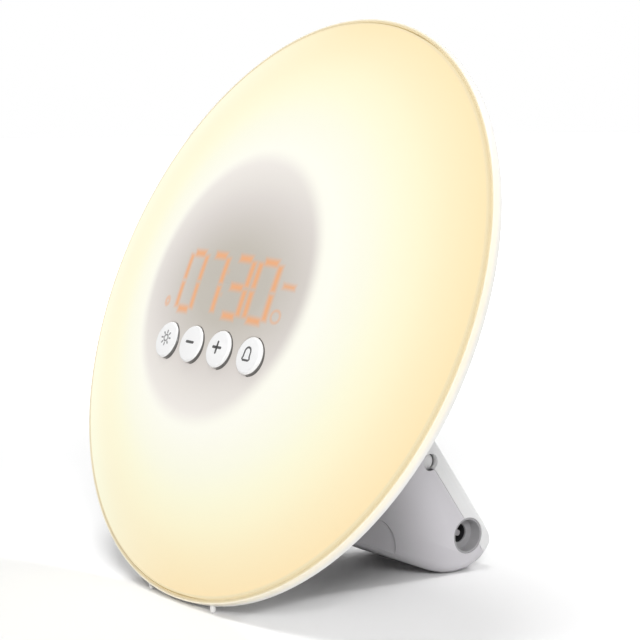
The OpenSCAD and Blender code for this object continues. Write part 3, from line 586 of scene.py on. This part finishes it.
# Screws that stand on points. The tree's sizes are in metres.
def makeScrewTree():
    tree = bpy.data.node_groups.new("screwsOnPoints", "GeometryNodeTree")
    face = tree.interface
    face.new_socket("Points", in_out="INPUT", socket_type="NodeSocketGeometry")
    for label in ("Head radius", "Head height", "Shank radius", "Shank length", "Slot width"):
        face.new_socket(label, in_out="INPUT", socket_type="NodeSocketFloat")
    face.new_socket("Finish", in_out="INPUT", socket_type="NodeSocketMaterial")
    face.new_socket("Screws", in_out="OUTPUT", socket_type="NodeSocketGeometry")
    inside, outside = addNode(tree, "NodeGroupInput"), addNode(tree, "NodeGroupOutput")
    radius, height, shank, length, slotWidth = (inside.outputs[i] for i in range(1, 6))

    def lifted(mesh, z):
        move = addNode(tree, "GeometryNodeTransform")
        feed(tree, move.inputs["Geometry"], mesh)
        spot = addNode(tree, "ShaderNodeCombineXYZ")
        feed(tree, spot.inputs["Z"], z)
        feed(tree, move.inputs["Translation"], spot.outputs[0])
        return move.outputs[0]

    def rod(r, long, z):
        node = addNode(tree, "GeometryNodeMeshCylinder")
        for label, value in (("Vertices", screws["sides"]), ("Radius", r), ("Depth", long)):
            feed(tree, node.inputs[label], value)
        return lifted(node.outputs["Mesh"], z)

    ball = addNode(tree, "GeometryNodeMeshUVSphere")
    ballRadius = calc(tree, "MULTIPLY", radius, screws["crown"])
    for label, value in (("Segments", screws["sides"]), ("Rings", screws["crownRings"]),
                         ("Radius", ballRadius)):
        feed(tree, ball.inputs[label], value)
    rounded = addNode(tree, "GeometryNodeMeshBoolean", operation="INTERSECT")
    halfHeight = calc(tree, "MULTIPLY", height, 0.5)
    for mesh in (rod(radius, height, halfHeight),
                 lifted(ball.outputs["Mesh"], calc(tree, "SUBTRACT", height, ballRadius))):
        tree.links.new(mesh, rounded.inputs["Mesh 2"])
    slotted = addNode(tree, "GeometryNodeMeshBoolean", operation="DIFFERENCE")
    feed(tree, slotted.inputs["Mesh 1"], rounded.outputs[0])
    slotLong = calc(tree, "MULTIPLY", radius, screws["slotReach"])
    for wide, deep in ((slotLong, slotWidth), (slotWidth, slotLong)):
        block, size = addNode(tree, "GeometryNodeMeshCube"), addNode(tree, "ShaderNodeCombineXYZ")
        for label, value in (("X", wide), ("Y", deep), ("Z", height)):
            feed(tree, size.inputs[label], value)
        feed(tree, block.inputs["Size"], size.outputs[0])
        tree.links.new(lifted(block.outputs["Mesh"], height), slotted.inputs["Mesh 2"])
    whole = addNode(tree, "GeometryNodeJoinGeometry")
    for mesh in (slotted.outputs[0], rod(shank, length, calc(tree, "MULTIPLY", length, -0.5))):
        tree.links.new(mesh, whole.inputs[0])
    chance = addNode(tree, "FunctionNodeRandomValue", data_type="FLOAT")
    chance.inputs["Seed"].default_value = screws["seed"]
    chance.inputs[3].default_value = pi / 2  # the most that a screw is turned
    spin = addNode(tree, "ShaderNodeCombineXYZ")
    feed(tree, spin.inputs["Z"], chance.outputs[1])
    spread = addNode(tree, "GeometryNodeInstanceOnPoints")
    for label, value in (("Points", inside.outputs[0]), ("Instance", whole.outputs[0]),
                         ("Rotation", spin.outputs[0])):
        feed(tree, spread.inputs[label], value)
    real, finish = addNode(tree, "GeometryNodeRealizeInstances"), addNode(tree, "GeometryNodeSetMaterial")
    feed(tree, real.inputs[0], spread.outputs[0])
    feed(tree, finish.inputs["Geometry"], real.outputs[0])
    feed(tree, finish.inputs["Material"], inside.outputs[6])
    feed(tree, outside.inputs[0], finish.outputs[0])
    return tree


# Screws at points of a flat frame, given by its origin and the directions of its x, y and z.
def makeScrews(name, node, points, origin, axes, length):
    mesh = bpy.data.meshes.new(name)
    mesh.from_pydata([(x / 1000, y / 1000, 0) for x, y in points], [], [])
    obj = bpy.data.objects.new(name, mesh)
    bpy.context.scene.collection.objects.link(obj)
    layer = obj.modifiers.new("screws", "NODES")
    layer.node_group = screwTree
    sizes = {"Head radius": screws["headRadius"] / 1000, "Head height": screws["headHeight"] / 1000,
             "Shank radius": screws["shankRadius"] / 1000, "Shank length": length / 1000,
             "Slot width": screws["slotWidth"] / 1000, "Finish": slotMaterial["screw_zinc"]}
    for socket in screwTree.interface.items_tree:
        if socket.name in sizes:
            layer[socket.identifier] = sizes[socket.name]
    plainMesh(obj)
    obj.data.transform(Matrix.Translation(origin) @ Matrix(axes).transposed().to_4x4())
    obj.data.shade_smooth()
    obj.data.set_sharp_from_angle(angle=radians(moulding["smoothTo"]))
    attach(obj, "clock")
    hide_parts(node)
    low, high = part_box(node)
    mine = [[f(v.co[i] for v in obj.data.vertices) for i in range(3)] for f in (min, max)]
    off = [round((a - b) * 1000, 2) for a, b in zip(mine[0] + mine[1], [*low, *high])]
    print(name, "off the CAD box by mm", off)


screwTree = makeScrewTree()
backSlope = radians(coverScrews["slope"])
downBack = -upDisc * sin(backSlope) - outDisc * cos(backSlope)
offBack = upDisc * cos(backSlope) - outDisc * sin(backSlope)
around = [radians(a) for a in range(domeScrews["first"], domeScrews["first"] + 360, domeScrews["every"])]
makeScrews("domeScrews", "dome_screws",
           [(domeScrews["ring"] * cos(a), domeScrews["ring"] * sin(a)) for a in around],
           onDisc(0, 0, domeScrews["out"]), (acrossDir, -upDisc, -outDisc), domeScrews["length"])
makeScrews("coverScrews", "cover_screws", coverScrews["places"],
           onDisc(0, coverScrews["up"], 0) - offBack * coverScrews["sink"] / 1000,
           (acrossDir, downBack, offBack), coverScrews["length"])
print("screws set")

# Printed symbols on the button caps: flat strokes a little above the cap. Sizes in mm.
symbols = {"stroke": 0.85, "sunStroke": 0.55, "proud": 0.03, "sunk": 0.02, "size": 4.0, "shift": (-0.4, 0.4)}


# A line of even width through points, closed into a ring.
def strokeRing(points, width):
    count = len(points)
    left, right = [], []
    for i, point in enumerate(points):
        before, after = points[i - 1], points[(i + 1) % count]
        along = Vector((after[0] - before[0], after[1] - before[1])).normalized()
        side = Vector((-along.y, along.x)) * width / 2
        left.append((point[0] + side.x, point[1] + side.y))
        right.append((point[0] - side.x, point[1] - side.y))
    return left + right, [(i, count + i, count + (i + 1) % count, (i + 1) % count) for i in range(count)]


# A bar from a to b with round ends.
def roundBar(a, b, width):
    turn = atan2(b[1] - a[1], b[0] - a[0])
    ring = [(b[0] + width / 2 * cos(turn + k), b[1] + width / 2 * sin(turn + k))
            for k in [pi * (i / 8 - 0.5) for i in range(9)]]
    ring += [(a[0] + width / 2 * cos(turn + k), a[1] + width / 2 * sin(turn + k))
             for k in [pi * (i / 8 + 0.5) for i in range(9)]]
    return ring, [tuple(range(len(ring)))]


def circlePoints(radius, steps):
    return [(radius * cos(2 * pi * i / steps), radius * sin(2 * pi * i / steps)) for i in range(steps)]


def bellOutline(size):
    w, h = size * 0.43, size * 0.5
    dome = [(0.86 * w * cos(a), 0.25 * h + 0.75 * h * sin(a)) for a in [pi * i / 16 for i in range(17)]]
    return [(0.8 * w, -h), (1.1 * w, -0.8 * h), (0.9 * w, -0.45 * h), *dome,
            (-0.9 * w, -0.45 * h), (-1.1 * w, -0.8 * h), (-0.8 * w, -h)]


def symbolShapes(which):
    size, stroke, thin = symbols["size"], symbols["stroke"], symbols["sunStroke"]
    if which == "minus":
        return [roundBar((-size * 0.44, 0), (size * 0.44, 0), stroke)]
    if which == "plus":
        return [roundBar((-size * 0.5, 0), (size * 0.5, 0), stroke),
                roundBar((0, -size * 0.42), (0, size * 0.42), stroke)]
    if which == "alarm":
        return [strokeRing(bellOutline(size), stroke * 0.75)]
    rays = [roundBar(a, b, thin) for a, b in zip(circlePoints(size * 0.42, 8), circlePoints(size * 0.58, 8))]
    return [strokeRing(circlePoints(size * 0.25, 24), thin), *rays]


def makeSymbol(which, body, across, material):
    far = hypot(across, disc["buttonDrop"])
    capTop = domeAt(far, 0) + disc["buttonProud"]
    verts, faces = [], []
    for outline, panels in symbolShapes(which):
        base = len(verts)
        for height in (capTop - symbols["sunk"], capTop + symbols["proud"]):
            verts += [onDisc(across + x + symbols["shift"][0], up - disc["buttonDrop"] + symbols["shift"][1],
                             height) for x, up in outline]
        n = len(outline)
        for panel in panels:
            faces.append(tuple(base + n + i for i in panel))
            faces.append(tuple(base + i for i in reversed(panel)))
            for i, j in zip(panel, panel[1:] + panel[:1]):
                faces.append((base + i, base + j, base + n + j, base + n + i))
    piece = newPiece(which + "Symbol", verts, faces, material, smooth=False)
    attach(piece, body)


darkPrint = plainFinish("symbolPrint", {"colour": (0.08, 0.08, 0.08), "rough": 0.5, "grainMm": 0.2,
                                        "bumpMm": 0.002, "shade": 0.25, "patchMm": 2})
palePrint = plainFinish("sunPrint", {"colour": (0.3, 0.3, 0.3), "rough": 0.5, "grainMm": 0.2,
                                     "bumpMm": 0.002, "shade": 0.2, "patchMm": 2})
for i, (which, material) in enumerate((("light", palePrint), ("minus", darkPrint), ("plus", darkPrint),
                                       ("alarm", darkPrint))):
    makeSymbol(which, which + "_button", (i - 1.5) * disc["buttonPitch"], material)
print("button symbols made")

# Camera, solved from the photograph: place about the disc's centre, turns in degrees
view = {"bearing": 55.0493, "height": 6.2382, "distance": 0.64374, "turn": 53.7183, "lift": 6.6850,
        "roll": 0.6066, "lens": 116.829, "sensor": 36}


def facing(turn, lift):
    a, e = radians(turn), radians(lift)
    return (Vector((cos(a), sin(a), 0)), Vector((-sin(a) * sin(e), cos(a) * sin(e), cos(e))),
            Vector((sin(a) * cos(e), -cos(a) * cos(e), sin(e))))


def makeCamera():
    right, up, back = facing(view["turn"], view["lift"])
    roll = radians(view["roll"])
    right, up = right * cos(roll) + up * sin(roll), up * cos(roll) - right * sin(roll)
    camera = bpy.data.objects.new("viewCamera", bpy.data.cameras.new("viewCamera"))
    bpy.context.scene.collection.objects.link(camera)
    place = discCentre + facing(view["bearing"], view["height"])[2] * view["distance"]
    turnMatrix = Matrix((right, up, back)).transposed().to_4x4()
    camera.matrix_world = Matrix.Translation(place) @ turnMatrix
    camera.data.lens = view["lens"]
    camera.data.sensor_width = view["sensor"]
    camera.data.clip_start = 0.01
    bpy.context.scene.camera = camera


makeCamera()

# Studio: pale floor, soft lights, white background. Places in metres, power in watts.
studio = {"floorHalf": 4.0, "floorColour": 0.82, "floorSeen": 0.93, "skyStrength": 0.32,
          "whiteFrom": 0.22, "whiteBy": 0.75}
lamps = {
    "topLamp": {"place": (0, -0.3, 1.6), "aim": (0, 0, 0.06), "size": 0.7, "power": 11.5},
    "sideLamp": {"place": (1.02, -0.69, 0.64), "aim": (0, 0, 0.06), "size": 0.3, "power": 9.4},
    "rearLamp": {"place": (0.1, 0.95, 1.1), "aim": (0, 0, 0.06), "size": 0.3, "power": 6},
}


# 1 where a ray comes from the camera or from a reflection, 0 for the light that fills the scene.
def seenRays(tree):
    rays = addNode(tree, "ShaderNodeLightPath")
    seen = calc(tree, "MAXIMUM", rays.outputs["Is Camera Ray"], rays.outputs["Is Glossy Ray"])
    return calc(tree, "MAXIMUM", seen, rays.outputs["Is Transmission Ray"])


# The floor keeps its shadows near the clock and turns white further out.
def makeFloor():
    size = studio["floorHalf"]
    material, tree, shader, place = startMaterial("paleFloor")
    addGrain(tree, shader, place, {"rough": 0.6, "grainMm": 2, "bumpMm": 0.002})
    seen = seenRays(tree)
    feed(tree, shader.inputs["Base Color"],
         mixColour(tree, seen, (studio["floorColour"],) * 3, (studio["floorSeen"],) * 3))
    shader.inputs["Specular IOR Level"].default_value = 0.1
    shader.inputs["Emission Color"].default_value = (1, 1, 1, 1)
    parts = addNode(tree, "ShaderNodeSeparateXYZ")
    feed(tree, parts.inputs[0], place)
    far = distance(tree, parts.outputs[0], parts.outputs[1])
    lift = softStep(tree, far, studio["whiteFrom"], studio["whiteBy"])
    feed(tree, shader.inputs["Emission Strength"], calc(tree, "MULTIPLY", seen, lift))
    floor = newPiece("floor", [(-size, -size, 0), (size, -size, 0), (size, size, 0), (-size, size, 0)],
                     [(0, 1, 2, 3)], material)


def makeSky():
    world = bpy.data.worlds.new("studioSky")
    bpy.context.scene.world = world
    world.use_nodes = True
    tree = world.node_tree
    sky = tree.nodes["Background"]
    feed(tree, sky.inputs["Color"], (1, 1, 1))
    feed(tree, sky.inputs["Strength"],
         calc(tree, "MULTIPLY_ADD", seenRays(tree), 1 - studio["skyStrength"], studio["skyStrength"]))


def makeLamp(name, settings):
    lamp = bpy.data.lights.new(name, "AREA")
    lamp.shape = "DISK"
    lamp.size = settings["size"]
    lamp.energy = settings["power"]
    obj = bpy.data.objects.new(name, lamp)
    bpy.context.scene.collection.objects.link(obj)
    obj.location = settings["place"]
    towards = Vector(settings["aim"]) - Vector(settings["place"])
    obj.rotation_euler = towards.to_track_quat("-Z", "Y").to_euler()


makeFloor()
makeSky()
for name, settings in lamps.items():
    makeLamp(name, settings)
bpy.context.scene.view_settings.view_transform = "Standard"
print("camera, floor and lights set")
